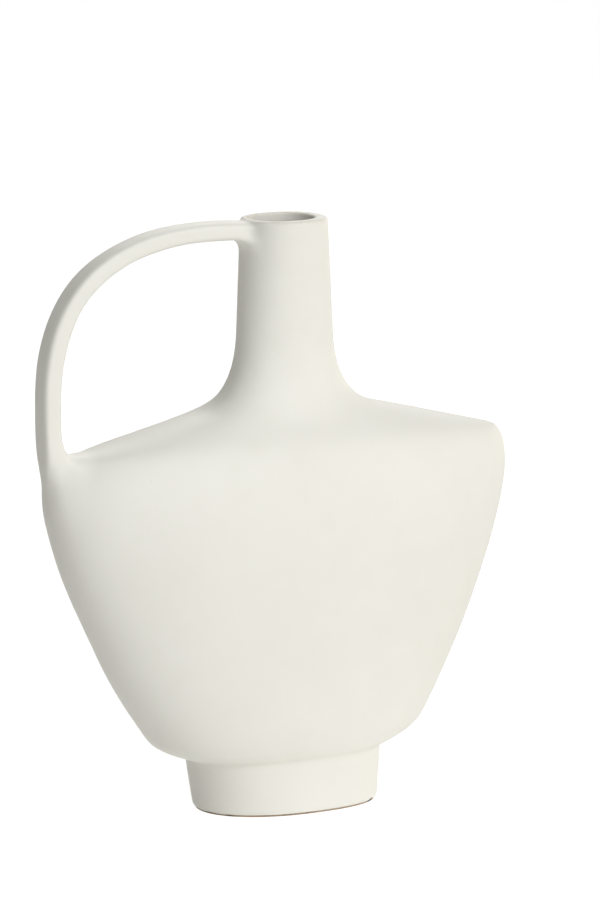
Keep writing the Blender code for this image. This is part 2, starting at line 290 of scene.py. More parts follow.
def swellAt(height):
    # A smooth curve through the given heights.
    points = vessel["leftSwell"]
    if not points[0][0] < height < points[-1][0]:
        return 0.0
    index = next(place for place in range(len(points) - 1) if height <= points[place + 1][0])
    (low, start), (high, end) = points[index], points[index + 1]
    last = len(points) - 1
    slopes = []
    for place in (index, index + 1):
        before, after = points[max(place - 1, 0)], points[min(place + 1, last)]
        slopes.append(0.0 if place in (0, last) else (after[1] - before[1]) / (after[0] - before[0]))
    t = (height - low) / (high - low)
    span = high - low
    return ((2 * t ** 3 - 3 * t * t + 1) * start + (t ** 3 - 2 * t * t + t) * span * slopes[0]
            + (3 * t * t - 2 * t ** 3) * end + (t ** 3 - t * t) * span * slopes[1])


def mouthLeanAt(height):
    full = vessel["height"] - vessel["mouthLeanFull"]
    return vessel["mouthLean"] * smoothShare(height, vessel["neckFrom"], full)


def surfaceRow(lines, height, wall=None):
    sizes = [halfAt(line, height) if wall is None else innerHalfAt(line, wall, height) for line in lines]
    shift = shiftAt(height) - (0.0 if wall is None else mouthLeanAt(height))
    row = ovalRow(sizes, height, squarenessAt(height), shift)
    swell = swellAt(height) if wall is None else 0.0
    if swell > 0:
        middle = (vessel["axisX"] + shift) * mm
        for point in row:
            share = (middle - point.x) / (sizes[1] * mm)
            point.x -= swell * mm * smoothShare(share, vessel["swellFrom"], 1.0)
    return row


def footRow(height, inset):
    share = height / vessel["footHeight"]
    pairs = zip(vessel["footBottom"], vessel["footTop"])
    sizes = [blendNumber(low, high, share) - inset for low, high in pairs]
    return ovalRow(sizes, height, squarenessAt(height), vessel["footShift"])


def smoothFold(rows):
    # Evens out each line of points that runs up over the shoulders.
    grid = np.array(rows)
    start, full, last, end = (height * mm for height in vessel["foldHeights"])
    height = grid[:, :, 2]
    share = np.clip((height - start) / (full - start), 0, 1) * np.clip((end - height) / (end - last), 0, 1)
    low, high = vessel["foldEnds"]
    sideways = np.abs(grid[:, :, 1]) / (np.abs(grid[:, :, 1]).max(axis=1, keepdims=True) + 1e-9)
    middle = np.clip((sideways - low) / (high - low), 0, 1)
    amount = (share * middle ** 2 * (3 - 2 * middle))[1:-1, :, None]
    for _ in range(vessel["foldRounds"]):
        grid[1:-1] += 0.5 * amount * (0.5 * (grid[:-2] + grid[2:]) - grid[1:-1])
    return [[Vector(point) for point in row] for row in grid]


def outerRows(lines, low, high):
    # Rows follow the front outline, so flat stretches get as many as steep ones.
    line = [point for point in evenPoints(lines[0], vessel["rowStep"]) if low < point.y < high]
    return smoothFold([surfaceRow(lines, point.y) for point in line])


def quarterTurn(steps):
    # Sine and cosine at even steps up to a right angle.
    angles = [math.pi / 2 * step / steps for step in range(steps + 1)]
    return [(math.sin(angle), math.cos(angle)) for angle in angles]


def lipRows():
    outer, inner = vessel["lipRound"], vessel["lipInnerRound"]
    top = vessel["height"]
    rows = []

    def add(inset, height):
        lean = mouthLeanAt(top) * smoothShare(inset, outer, vessel["wall"])
        sizes = [size - inset for size in vessel["mouth"]]
        rows.append(ovalRow(sizes, height, vessel["squareness"][3], shiftAt(top) - lean))

    turn = quarterTurn(vessel["lipSteps"])
    for sine, cosine in turn[1:]:
        add(outer * (1 - cosine), top - outer + outer * sine)
    add((outer + vessel["wall"] - inner) / 2, top)
    for sine, cosine in reversed(turn):
        add(vessel["wall"] - inner * (1 - cosine), top - inner + inner * sine)
    return rows


def gridMesh(name, rows, ring=False):
    # Rows joined into a skin. Its two ends are closed by flat caps, or joined to each other in a ring.
    mesh = bmesh.new()
    grid = [[mesh.verts.new(point) for point in row] for row in rows]
    count = len(grid[0])
    above = grid[1:] + grid[:1] if ring else grid[1:]
    for low, high in zip(grid, above):
        for step in range(count):
            after = (step + 1) % count
            mesh.faces.new((low[step], low[after], high[after], high[step]))
    if not ring:
        mesh.faces.new(grid[0])
        mesh.faces.new(grid[-1])
    bmesh.ops.recalc_face_normals(mesh, faces=mesh.faces)
    data = bpy.data.meshes.new(name)
    mesh.to_mesh(data)
    mesh.free()
    data.shade_smooth()
    piece = bpy.data.objects.new(name, data)
    bpy.context.scene.collection.objects.link(piece)
    return piece


def vesselSolid(lines):
    # From the middle of the underside, up the outside, over the lip and down the inside to the floor.
    edge = vessel["glazeEdge"]
    roundIn, roundUp = vessel["glazeEdgeRound"]
    footWall = vessel["footWall"]
    underside = vessel["floorUnderside"]
    rows = []
    for inset in vessel["undersideInsets"]:
        rows.append(footRow(underside, footWall + inset))
    rows.append(footRow(underside, footWall))
    rows.append(footRow(edge, footWall))
    for inset in vessel["edgeInsets"]:
        rows.append(footRow(edge, inset))
    for sine, cosine in quarterTurn(vessel["glazeEdgeSteps"]):
        rows.append(footRow(edge + roundUp * (1 - cosine), roundIn * (1 - sine)))
    below, above = vessel["rowRoom"]
    rows += outerRows(lines, edge + roundUp + below, vessel["height"] - vessel["lipRound"] - above)
    rows += lipRows()
    below, above = vessel["insideRoom"]
    lowest, highest = vessel["footHeight"] + below, vessel["height"] - vessel["lipInnerRound"] - above
    for point in reversed(evenPoints(lines[0], vessel["insideStep"])):
        if lowest < point.y < highest:
            rows.append(surfaceRow(lines, point.y, wall=vessel["wall"]))
    floor = vessel["floorTop"]
    corner = vessel["floorCorner"]
    for height in vessel["hollowHeights"] + (floor + corner,):
        rows.append(footRow(height, footWall))
    for sine, cosine in quarterTurn(vessel["floorCornerSteps"])[1:]:
        rows.append(footRow(floor + corner * (1 - sine), footWall + corner * (1 - cosine)))
    for inset in vessel["floorInsets"]:
        rows.append(footRow(floor, footWall + inset))
    return gridMesh("glazedVessel", rows)


# The strap handle: its middle line is two curves, from the neck out to the bow and down the shoulder.
handle = {
    "width": 17.7,
    # at the neck, half way along its line and at the lower end
    "thickness": (10.7, 11.4, 11.0),
    # it starts inside the neck's wall, a little below the lip
    "rootDrop": 7.2,
    "rootSink": 7.0,
    "rootSlope": -0.113,
    # the point that stands out most: x from the vessel's axis, and height
    "bow": (-151.3, 252.9),
    # the line's hidden end inside the body's edge
    "tailHeight": 108.0,
    "tailSink": 6.5,
    "tailLean": 0.538,
    # how full the two curves are, from the neck down to the tail
    "pulls": (0.614, 0.819, 0.451, 0.359),
    # how square its section is, and how square where it has grown softer at the shoulder
    "edgePower": 4.3,
    "tailPower": 2.9,
    "softerHeights": (226.0, 200.0),
    # where the lower end spreads over the shoulder, and by how much inwards and to each side
    "flareHeights": (236.5, 214.5),
    "flareMost": 0.98,
    "flareIn": 11.5,
    "flareInnerSide": 1.0,
    "flareOuterSide": -1.0,
    # below the shoulder it sinks into the body's edge, and it ends at the lowest height
    "sinkHeights": (212.0, 150.0),
    "sink": 9.0,
    "lowest": 150.0,
    "curveSteps": 80,
    "stations": 165,
    "around": 60,
}


def handleLine(lines):
    # Points (x, z) from the vessel's axis.
    rootHeight = vessel["height"] - handle["rootDrop"]
    root = Vector((shiftAt(rootHeight) - halfAt(lines[1], rootHeight) + handle["rootSink"], rootHeight))
    bow = Vector(handle["bow"])
    tailHeight = handle["tailHeight"]
    tail = Vector((handle["tailSink"] - halfAt(lines[1], tailHeight), tailHeight))
    rootWay = Vector((-1.0, -handle["rootSlope"])).normalized()
    tailWay = Vector((handle["tailLean"], -1.0)).normalized()
    rootPull, shoulderPull, bowPull, tailPull = handle["pulls"]
    across, down, fall = root.x - bow.x, root.y - bow.y, bow.y - tail.y
    steps = handle["curveSteps"]
    leave, arrive = root + rootWay * rootPull * across, bow + Vector((0.0, shoulderPull * down))
    over = bezierPoints(root, leave, arrive, bow, steps)
    leave, arrive = bow - Vector((0.0, bowPull * fall)), tail - tailWay * tailPull * fall
    under = bezierPoints(bow, leave, arrive, tail, steps)
    return [root] + over + under


def handleSolid(lines):
    line = handleLine(lines)
    length = sum((high - low).length for low, high in zip(line, line[1:]))
    centres = evenPoints(line, length / handle["stations"])
    bowIndex = min(range(len(centres)), key=lambda index: centres[index].x)
    rows = []
    for index, centre in enumerate(centres):
        before = centres[max(index - 1, 0)]
        after = centres[min(index + 1, len(centres) - 1)]
        way = (after - before).normalized()
        outwards = Vector((way.y, -way.x))
        share = index / (len(centres) - 1)
        rootThick, middleThick, tailThick = handle["thickness"]
        if share < 0.5:
            thick = blendNumber(rootThick, middleThick, 2 * share)
        else:
            thick = blendNumber(middleThick, tailThick, 2 * share - 1)
        flare = sunk = softer = 0.0
        if index > bowIndex:
            if centre.y < handle["lowest"]:
                break
            top, bottom = handle["flareHeights"]
            fall = min(max((top - centre.y) / (top - bottom), 0.0), handle["flareMost"])
            flare = 1 - math.sqrt(1 - fall * fall)
            sunk = smoothShare(centre.y, *handle["sinkHeights"])
            softer = smoothShare(centre.y, *handle["softerHeights"])
        power = 2 / blendNumber(handle["edgePower"], handle["tailPower"], softer)
        row = []
        for step in range(handle["around"]):
            angle = 2 * math.pi * step / handle["around"]
            out = math.copysign(abs(math.cos(angle)) ** power, math.cos(angle))
            side = math.copysign(abs(math.sin(angle)) ** power, math.sin(angle))
            inner = (1 - out) / 2
            spread = blendNumber(handle["flareOuterSide"], handle["flareInnerSide"], inner)
            half = handle["width"] / 2 + flare * spread
            out = out * thick / 2 - inner * flare * handle["flareIn"]
            x = vessel["axisX"] + centre.x + outwards.x * out + handle["sink"] * sunk
            row.append(Vector((x, side * half, centre.y + outwards.y * out)) * mm)
        rows.append(row)
    return gridMesh("strapHandle", rows)


# How the handle's clay is smoothed into the vessel
jointing = {
    # the core that trims the strap's hidden ends: how deep it lies, where it starts and its rows' step
    "hiddenInset": 3.2,
    "coreFrom": 40.0,
    "coreStep": 4.0,
    # vertices closer than this are merged, and those deeper than the second stay as they are
    "merge": 0.02,
    "skinDepth": 0.4,
    # the strap's own surface counts fully this far from the body
    "strapFrom": 8.0,
    # the upper joint lies above this height
    "neckAbove": 300.0,
    # there: over, beside and under the strap, and how fast one passes into the next
    "neckFillets": (2.0, 4.5, 10.0),
    "neckTurn": 1.2,
    # at the shoulder: in the crotch and beside the strap, lower down beside it, and along its outer face
    "shoulderFillet": 14.0,
    "tailFillet": 6.0,
    "tailHeights": (110.0, 190.0),
    "outerFillet": 8.0,
    "outerFacing": -0.95,
    # the joint's points are evened out in turns, and settled on the smooth union each time
    "relaxRounds": 9,
    "relaxShare": 0.5,
    "settleSteps": 5,
    "settled": 0.002,
    "leastSlope": 0.1,
}


def modified(piece, kind, **settings):
    modifier = piece.modifiers.new(kind.lower(), kind)
    for name, value in settings.items():
        setattr(modifier, name, value)
    bpy.context.view_layer.update()
    graph = bpy.context.evaluated_depsgraph_get()
    data = bpy.data.meshes.new_from_object(piece.evaluated_get(graph))
    piece.modifiers.clear()
    old = piece.data
    piece.data = data
    bpy.data.meshes.remove(old)


def deleted(piece):
    data = piece.data
    bpy.data.objects.remove(piece)
    bpy.data.meshes.remove(data)


def treeOf(piece):
    mesh = bmesh.new()
    mesh.from_mesh(piece.data)
    bmesh.ops.triangulate(mesh, faces=mesh.faces)
    tree = BVHTree.FromBMesh(mesh)
    mesh.free()
    return tree


def signedDistance(tree, point):
    # Distance in mm, negative inside, and the direction in which it grows.
    place, normal, _, distance = tree.find_nearest(point)
    away = point - place
    inside = away.dot(normal) < 0
    direction = -away if inside else away
    direction = direction.normalized() if distance > 1e-6 else normal
    return (-distance if inside else distance) / mm, direction


def filletAt(point, strapWay):
    # Wide on the strap's two sides and in the crotch, and narrower along its outer face.
    height = point.z / mm
    if height > jointing["neckAbove"]:
        over, beside, under = jointing["neckFillets"]
        if strapWay.z > 0:
            return blendNumber(beside, over, jointing["neckTurn"] * strapWay.z)
        return blendNumber(beside, under, -jointing["neckTurn"] * strapWay.z)
    share = smoothShare(height, *jointing["tailHeights"])
    wide = blendNumber(jointing["tailFillet"], jointing["shoulderFillet"], share)
    return blendNumber(jointing["outerFillet"], wide, smoothShare(strapWay.x, jointing["outerFacing"], 0.0))


def smoothUnion(body, bodyWay, strap, strapWay, fillet):
    share = min(max(0.5 + 0.5 * (strap - body) / fillet, 0.0), 1.0)
    value = blendNumber(strap, body, share) - fillet * share * (1 - share)
    way = strapWay.lerp(bodyWay, share)
    return value, way


def filletJoints(piece, bodyTree, strapTree):
    mesh = bmesh.new()
    mesh.from_mesh(piece.data)
    bmesh.ops.remove_doubles(mesh, verts=mesh.verts, dist=jointing["merge"] * mm)
    onStrap = mesh.verts.layers.float.new("onStrap")
    deepest = -jointing["skinDepth"]
    near = []
    for vert in mesh.verts:
        body, _ = signedDistance(bodyTree, vert.co)
        vert[onStrap] = smoothShare(body, 0.0, jointing["strapFrom"])
        if body < deepest:
            continue
        strap, strapWay = signedDistance(strapTree, vert.co)
        fillet = filletAt(vert.co, strapWay)
        if strap > deepest and max(body, strap) < fillet:
            near.append(vert)

    def settle(vert):
        for _ in range(jointing["settleSteps"]):
            body, bodyWay = signedDistance(bodyTree, vert.co)
            strap, strapWay = signedDistance(strapTree, vert.co)
            value, way = smoothUnion(body, bodyWay, strap, strapWay, filletAt(vert.co, strapWay))
            if way.length < jointing["leastSlope"] or abs(value) < jointing["settled"]:
                break
            vert.co -= way * (value * mm / way.length_squared)

    for vert in near:
        settle(vert)
    for _ in range(jointing["relaxRounds"]):
        moved = {}
        for vert in near:
            middle = Vector((0.0, 0.0, 0.0))
            for edge in vert.link_edges:
                middle += edge.other_vert(vert).co
            moved[vert] = vert.co.lerp(middle / len(vert.link_edges), jointing["relaxShare"])
        for vert, place in moved.items():
            vert.co = place
        for vert in near:
            settle(vert)
    mesh.to_mesh(piece.data)
    mesh.free()
    piece.data.shade_smooth()
    print("joint vertices smoothed:", len(near))


# The slight unevenness of a vase built by hand: (depth in mm, waves per metre across and upwards)
handwork = {
    "body": (0.22, 24.0, 24.0),
    "neck": (0.20, 55.0, 9.0),
    "strap": (0.34, 48.0, 48.0),
    "small": (0.035, 130.0, 130.0),
    # the neck's waves take over from the body's between these heights
    "neckHeights": (236.0, 270.0),
    # nothing moves below the first height, all counts above the second, and the lip moves less
    "still": (2.5, 12.0),
    "lipShare": 0.5,
}


def wave(point, seed, across, upwards):
    return noise.noise(Vector((point.x * across + seed, point.y * across, point.z * upwards)))


def makeUneven(piece):
    mesh = bmesh.new()
    mesh.from_mesh(piece.data)
    mesh.normal_update()
    onStrap = mesh.verts.layers.float["onStrap"]
    moves = []
    for vert in mesh.verts:
        height = vert.co.z / mm
        onNeck = smoothShare(height, *handwork["neckHeights"])
        depths = [handwork[name][0] * wave(vert.co, seed, *handwork[name][1:])
                  for seed, name in enumerate(("body", "neck", "strap", "small"))]
        depth = blendNumber(blendNumber(depths[0], depths[1], onNeck), depths[2], vert[onStrap]) + depths[3]
        depth *= smoothShare(height, *handwork["still"])
        if height > vessel["height"] - 2 * vessel["lipRound"]:
            depth *= handwork["lipShare"]
        moves.append((vert, vert.normal * (depth * mm)))
    for vert, move in moves:
        vert.co += move
    mesh.to_mesh(piece.data)
    mesh.free()
    piece.data.shade_smooth()
    print("vessel made uneven by hand")


# Where the glaze runs thin: over the lip's two edges, and where it was wiped off above the bare foot ring
thinGlaze = {
    # (inset, depth below the lip, spread, amount)
    "innerLip": (5.0, 0.6, 0.75, 1.0),
    "outerLip": (0.7, 0.7, 1.5, 0.35),
    # below the first height the clay is bare, and above the second it is covered
    "wiped": (0.9, 1.9),
}


def markThinGlaze(piece):
    count = len(piece.data.vertices)
    places = np.empty(count * 3)
    piece.data.vertices.foreach_get("co", places)
    x, y, z = places.reshape(count, 3).T / mm
    top = vessel["height"]
    squareness = vessel["squareness"][3][0]
    lip = np.zeros(count)
    for inset, drop, spread, amount in (thinGlaze["innerLip"], thinGlaze["outerLip"]):
        width, _, depth = (size - inset for size in vessel["mouth"])
        lean = mouthLeanAt(top) * smoothShare(inset, vessel["lipRound"], vessel["wall"])
        across = np.abs(x - vessel["axisX"] - shiftAt(top) + lean) / width
        reach = (across ** squareness + np.abs(y / depth) ** squareness) ** (1 / squareness)
        away = np.hypot((reach - 1) * depth, z - top + drop)
        lip = np.maximum(lip, amount * np.exp(-(away / spread) ** 2))
    bare, covered = thinGlaze["wiped"]
    edge = np.clip((covered - z) / (covered - bare), 0, 1)
    for name, values in (("lipEdge", lip), ("footEdge", edge)):
        layer = piece.data.attributes.new(name, "FLOAT", "POINT")
        layer.data.foreach_set("value", values.astype(np.float32))


def makeVessel():
    lines = outerLines()
    whole = vesselSolid(lines)
    strap = handleSolid(lines)
    strapTree = treeOf(strap)
    # a filled copy of the outer skin measures distances, and a smaller one trims the handle's hidden ends
    skin = outerRows(lines, vessel["glazeEdge"], vessel["height"] - vessel["lipRound"])
    filled = gridMesh("filledVessel", skin + lipRows()[:vessel["lipSteps"]])
    bodyTree = treeOf(filled)
    deleted(filled)
    inset = jointing["hiddenInset"]
    coreRows = []
    for point in evenPoints(lines[0], jointing["coreStep"]):
        if point.y > jointing["coreFrom"]:
            coreRows.append(surfaceRow(lines, point.y, wall=inset))
    core = gridMesh("hiddenCore", coreRows)
    modified(strap, "BOOLEAN", operation="DIFFERENCE", solver="EXACT", object=core)
    deleted(core)
    modified(whole, "BOOLEAN", operation="UNION", solver="EXACT", object=strap)
    deleted(strap)
    filletJoints(whole, bodyTree, strapTree)
    makeUneven(whole)
    markThinGlaze(whole)
    print("vessel faces:", len(whole.data.polygons))
    return whole


glazedVessel = makeVessel()


# The bare clay ring under the foot
footRing = {
    "height": 6.0,
    # its outer step, under the foot's wall: its height, the row in its middle and where it ends
    "ledge": 0.8,
    "ledgeMiddle": 3.0,
    "upright": 7.3,
    "width": 6.0,
    # how far its edge stands behind the glaze's, and its lowest line behind that edge
    "behindGlaze": 0.1,
    "undercut": 0.15,
    "edgeRound": 0.35,
    "sharpAngle": 50.0,
}


def makeFootRing():
    upright = footRing["upright"]
    inner = upright + footRing["width"]
    soft = footRing["edgeRound"]
    ledge, top = footRing["ledge"], footRing["height"]
    outer = vessel["glazeEdgeRound"][0] + footRing["behindGlaze"]
    # (height, inset) round the ring's section
    path = [
        (0.0, outer + soft + footRing["undercut"]), (soft * 0.3, outer + soft * 0.3),
        (soft, outer), (ledge, outer),
        (ledge, footRing["ledgeMiddle"]), (ledge, upright), (top, upright),
        (top, inner - soft), (top - soft, inner), (soft, inner), (0.0, inner - soft),
    ]
    piece = gridMesh("bareFootRing", [footRow(height, inset) for height, inset in path], ring=True)
    piece.data.set_sharp_from_angle(angle=math.radians(footRing["sharpAngle"]))
    return piece


bareFootRing = makeFootRing()


# The bare clay of the base, seen inside the foot ring from below
base = {
    "inset": 13.4,
    "low": 5.4,
    "high": 6.2,
    "edge": 0.3,
    # the middle of its underside lies higher by this much
    "dish": 0.35,
    "rowInsets": (34.0, 30.0, 25.0, 20.0, 16.0),
}


def makeBase():
    inset, low, high, edge = base["inset"], base["low"], base["high"], base["edge"]
    steps = base["rowInsets"]
    rows = [footRow(low + base["dish"] * smoothShare(step, inset, steps[0]), step) for step in steps]
    rows += [footRow(low, inset + edge), footRow(low + edge, inset), footRow(high, inset)]
    rows += [footRow(high, step) for step in reversed(steps)]
    return gridMesh("bareBase", rows)


bareBase = makeBase()
print("foot ring and base made")


# The finishes. The mottle, the grain and the specks are groups that the glaze and the clay share.
def newGroup(name, inputs, output):
    group = bpy.data.node_groups.new(name, "ShaderNodeTree")
    for socketName, kind, value in inputs:
        socket = group.interface.new_socket(name=socketName, in_out="INPUT", socket_type=kind)
        if value is not None:
            socket.default_value = value
    group.interface.new_socket(name=output, in_out="OUTPUT", socket_type="NodeSocketFloat")
    return group, group.nodes.new("NodeGroupInput"), group.nodes.new("NodeGroupOutput")


def addNode(tree, kind, values=None, **settings):
    node = tree.nodes.new(kind)
    for name, value in settings.items():
        setattr(node, name, value)
    for socket, value in (values or {}).items():
        if isinstance(value, bpy.types.NodeSocket):
            tree.links.new(value, node.inputs[socket])
        else:
            node.inputs[socket].default_value = value
    return node


def calc(tree, operation, first, second=None, third=None, clamp=False):
    values = {place: value for place, value in enumerate((first, second, third)) if value is not None}
    return addNode(tree, "ShaderNodeMath", values, operation=operation, use_clamp=clamp).outputs[0]


def mixColour(tree, share, first, second):
    node = addNode(tree, "ShaderNodeMix", data_type="RGBA")
    for socket, value in ((0, share), (6, first), (7, second)):
        if isinstance(value, bpy.types.NodeSocket):
            tree.links.new(value, node.inputs[socket])
        else:
            node.inputs[socket].default_value = value
    return node.outputs[2]


def remap(tree, value, start, end, low=0.0, high=1.0):
    values = {"Value": value, "From Min": start, "From Max": end, "To Min": low, "To Max": high}
    return addNode(tree, "ShaderNodeMapRange", values).outputs[0]


def addNoise(tree, place, scale, detail, roughness):
    values = {"Vector": place, "Scale": scale, "Detail": detail, "Roughness": roughness}
    return addNode(tree, "ShaderNodeTexNoise", values).outputs[0]


def makeSoftMottle():
    # Broad and medium patches where the glaze or the clay is a little denser, 0 to 1.
    inputs = [("Place", "NodeSocketVector", None), ("Scale", "NodeSocketFloat", 12.0),
              ("Contrast", "NodeSocketFloat", 1.0)]
    group, given, out = newGroup("softMottle", inputs, "Tone")
    place, scale, contrast = given.outputs[:3]
    finer, mediumShare = 4.7, 0.4
    broad = addNoise(group, place, scale, 2.0, 0.5)
    medium = addNoise(group, place, calc(group, "MULTIPLY", scale, finer), 3.0, 0.55)
    both = calc(group, "MULTIPLY_ADD", medium, mediumShare, calc(group, "MULTIPLY", broad, 1 - mediumShare))
    centred = calc(group, "MULTIPLY", calc(group, "SUBTRACT", both, 0.5), contrast)
    group.links.new(calc(group, "ADD", centred, 0.5, clamp=True), out.inputs["Tone"])
    return group


def makeFineGrain():
    # The height of a matt surface: fine grain over shallow brushed unevenness.
    inputs = [("Place", "NodeSocketVector", None), ("Scale", "NodeSocketFloat", 1500.0),
              ("Unevenness", "NodeSocketFloat", 0.5)]
    group, given, out = newGroup("fineGrain", inputs, "Height")
    place, scale, unevenness = given.outputs[:3]
    coarser = 0.12
    fine = addNoise(group, place, scale, 2.0, 0.6)
    coarse = addNoise(group, place, calc(group, "MULTIPLY", scale, coarser), 2.0, 0.5)
    group.links.new(calc(group, "MULTIPLY_ADD", coarse, unevenness, fine), out.inputs["Height"])
    return group


def makeIronSpecks():
    # Small round iron specks, only in some of the cells.
    inputs = [("Place", "NodeSocketVector", None), ("Scale", "NodeSocketFloat", 90.0),
              ("Share", "NodeSocketFloat", 0.2), ("Size", "NodeSocketFloat", 0.1)]
    group, given, out = newGroup("ironSpecks", inputs, "Mask")
    place, scale, share, size = given.outputs[:4]
    core = 0.4
    cells = addNode(group, "ShaderNodeTexVoronoi", {"Vector": place, "Scale": scale, "Randomness": 1.0})
    picked = addNode(group, "ShaderNodeSeparateColor", {"Color": cells.outputs["Color"]})
    here = calc(group, "LESS_THAN", picked.outputs[0], share)
    near = remap(group, cells.outputs["Distance"], size, calc(group, "MULTIPLY", size, core))
    group.links.new(calc(group, "MULTIPLY", here, near), out.inputs["Mask"])
    return group


softMottle = makeSoftMottle()
fineGrain = makeFineGrain()
ironSpecks = makeIronSpecks()


def newMaterial(name):
    material = bpy.data.materials.new(name)
    material.use_nodes = True
    tree = material.node_tree
    shader = tree.nodes["Principled BSDF"]
    place = addNode(tree, "ShaderNodeTexCoord").outputs["Object"]
    return material, tree, shader, place


def useGroup(tree, group, place, **values):
    node = addNode(tree, "ShaderNodeGroup", node_tree=group)
    tree.links.new(place, node.inputs["Place"])
    for name, value in values.items():
        node.inputs[name].default_value = value
    return node.outputs[0]


def mottleAt(tree, place, values):
    scale, contrast = values
    return useGroup(tree, softMottle, place, Scale=scale, Contrast=contrast)


def specksAt(tree, place, values):
    scale, share, size = values
    return useGroup(tree, ironSpecks, place, Scale=scale, Share=share, Size=size)


def addGrain(tree, shader, place, values):
    scale, unevenness, strength, distance = values
    height = useGroup(tree, fineGrain, place, Scale=scale, Unevenness=unevenness)
    bump = addNode(tree, "ShaderNodeBump", {"Height": height, "Strength": strength, "Distance": distance})
    tree.links.new(bump.outputs["Normal"], shader.inputs["Normal"])


# Painted contact shadow: near-black patches along the foot's edge where it meets the table
paintedFootShadows = {
    # (place, reach) in mm
    "places": [((48.7, -27.2, -0.3), 3.5), ((-40.9, -20.9, -3.0), 5.0), ((-48.3, -10.5, -12.0), 14.4)],
    # the share of the reach that is fully dark
    "dark": 0.6,
}


def addPaintedShadows(tree, place, colour):
    mask = None
    for centre, reach in paintedFootShadows["places"]:
        ends = {0: place, 1: [value * mm for value in centre]}
        away = addNode(tree, "ShaderNodeVectorMath", ends, operation="DISTANCE").outputs["Value"]
        near = remap(tree, away, reach * mm, paintedFootShadows["dark"] * reach * mm)
        mask = near if mask is None else calc(tree, "MAXIMUM", mask, near)
    # the painted shadow takes the near-black colour of the iron specks
    return mixColour(tree, mask, colour, clayFinish["iron"])


# The matt off-white glaze: hardly mottled, warm where it is thin, with a rare faint speck
glazeFinish = {
    "dense": (0.822, 0.813, 0.768, 1),
    "plain": (0.782, 0.770, 0.716, 1),
    "thin": (0.50, 0.36, 0.24, 1),
    "speck": (0.46, 0.38, 0.30, 1),
    "clay": (0.47, 0.36, 0.23, 1),
    "darkClay": (0.10, 0.065, 0.04, 1),
    # (scale, contrast) of the mottle
    "mottle": (13.0, 1.6),
    # (scale, share of the cells, size) of the specks, and how strongly they show
    "specks": (52.0, 0.03, 0.04),
    "speckStrength": 0.15,
    # the patches in which the glaze breaks over the lip's edge: from, to, least, most
    "lipPatches": (62.0, 3.2),
    "lipBreak": (0.35, 0.85, 0.06, 0.62),
    # how the wiped edge above the foot ring wanders and fades
    "edgePatches": (95.0, 2.0),
    "edgeWander": 0.5,
    "edgeFade": (0.55, 0.8),
    # dark iron in the bare edge
    "ironPatches": (150.0, 3.5),
    "ironFade": (0.62, 0.8),
    "roughness": (0.47, 0.57),
    "bareRoughness": 0.9,
    # (scale, unevenness, strength, distance in metres) of the grain
    "grain": (1400.0, 1.6, 0.07, 0.00012),
}


def makeGlaze():
    material, tree, shader, place = newMaterial("matteWhiteGlaze")
    tone = mottleAt(tree, place, glazeFinish["mottle"])
    colour = mixColour(tree, tone, glazeFinish["plain"], glazeFinish["dense"])
    specks = specksAt(tree, place, glazeFinish["specks"])
    specks = calc(tree, "MULTIPLY", specks, glazeFinish["speckStrength"])
    colour = mixColour(tree, specks, colour, glazeFinish["speck"])
    # it breaks over the lip's edge in places
    lipEdge = addNode(tree, "ShaderNodeAttribute", attribute_name="lipEdge").outputs["Fac"]
    broken = remap(tree, mottleAt(tree, place, glazeFinish["lipPatches"]), *glazeFinish["lipBreak"])
    thin = calc(tree, "MULTIPLY", lipEdge, broken)
    colour = mixColour(tree, thin, colour, glazeFinish["thin"])
    # the wiped edge above the foot ring wanders a little, and shows the clay with dark iron in it
    footEdge = addNode(tree, "ShaderNodeAttribute", attribute_name="footEdge").outputs["Fac"]
    wander, patches = glazeFinish["edgeWander"], mottleAt(tree, place, glazeFinish["edgePatches"])
    edge = calc(tree, "ADD", footEdge, calc(tree, "MULTIPLY_ADD", patches, wander, -wander / 2))
    bare = remap(tree, edge, *glazeFinish["edgeFade"])
    iron = remap(tree, mottleAt(tree, place, glazeFinish["ironPatches"]), *glazeFinish["ironFade"])
    clay = mixColour(tree, iron, glazeFinish["clay"], glazeFinish["darkClay"])
    colour = mixColour(tree, bare, colour, clay)
    # painted contact shadow: near-black where the foot's edge meets the table
    tree.links.new(addPaintedShadows(tree, place, colour), shader.inputs["Base Color"])
    # rougher where the glaze is thin or gone
    low, high = glazeFinish["roughness"]
    roughness = remap(tree, tone, 0.0, 1.0, high, low)
    for mask in (bare, thin):
        rough = calc(tree, "MULTIPLY", mask, glazeFinish["bareRoughness"])
        roughness = calc(tree, "MAXIMUM", roughness, rough)
    tree.links.new(roughness, shader.inputs["Roughness"])
    addGrain(tree, shader, place, glazeFinish["grain"])
    return material


# The bare fired clay: tan brown, gritty, with darker iron specks, and a painted shadow where the foot meets
# the table
clayFinish = {
    "light": (0.50, 0.38, 0.25, 1),
    "brown": (0.29, 0.20, 0.12, 1),
    # the iron specks' near-black, also the colour of the painted shadow at the foot's edge
    "iron": (0.06, 0.04, 0.025, 1),
    "mottle": (70.0, 2.6),
    "specks": (420.0, 0.28, 0.22),
    "roughness": (0.84, 0.96),
    "grain": (2600.0, 1.0, 0.55, 0.00025),
}


def makeClay():
    material, tree, shader, place = newMaterial("bareClay")
    tone = mottleAt(tree, place, clayFinish["mottle"])
    colour = mixColour(tree, tone, clayFinish["brown"], clayFinish["light"])
    colour = mixColour(tree, specksAt(tree, place, clayFinish["specks"]), colour, clayFinish["iron"])
    # painted contact shadow: near-black where the foot's edge meets the table
    tree.links.new(addPaintedShadows(tree, place, colour), shader.inputs["Base Color"])
    low, high = clayFinish["roughness"]
    tree.links.new(remap(tree, tone, 0.0, 1.0, high, low), shader.inputs["Roughness"])
    addGrain(tree, shader, place, clayFinish["grain"])
    return material


matteWhiteGlaze = makeGlaze()
bareClay = makeClay()
print("finishes made:", matteWhiteGlaze.name, bareClay.name)

